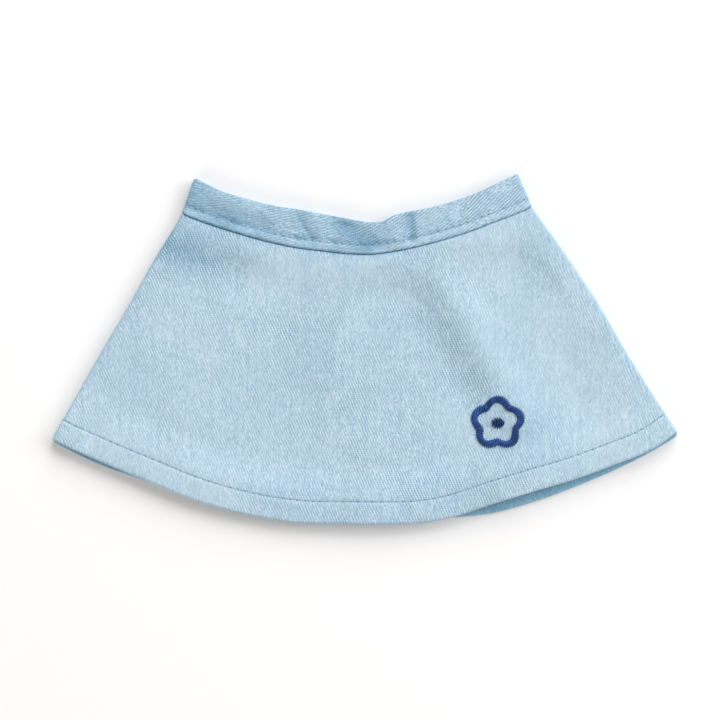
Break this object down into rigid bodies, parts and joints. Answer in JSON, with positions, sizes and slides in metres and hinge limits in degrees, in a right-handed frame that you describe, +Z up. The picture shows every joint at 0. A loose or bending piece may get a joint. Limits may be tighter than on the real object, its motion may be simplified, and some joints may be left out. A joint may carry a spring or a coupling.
{
  "type": "doll's skater skirt",
  "caption": "Doll's flared skater skirt in light blue denim, laid flat, with a folded waistband, a turned-up hem and a small embroidered flower.",
  "frame": {"origin": "on the floor under the middle of the laid skirt", "axes": "+X across the skirt to the wearer's left as seen from above, +Y towards the waist, +Z up from the floor"},
  "size_m": [0.231, 0.1294, 0.0069],
  "materials": {
    "denim": "light blue cotton twill, matt"
  },
  "bodies": {
    "root": {"front_panel": "denim", "back_panel": "denim", "waistband": "denim"}
  },
  "joints": []
}
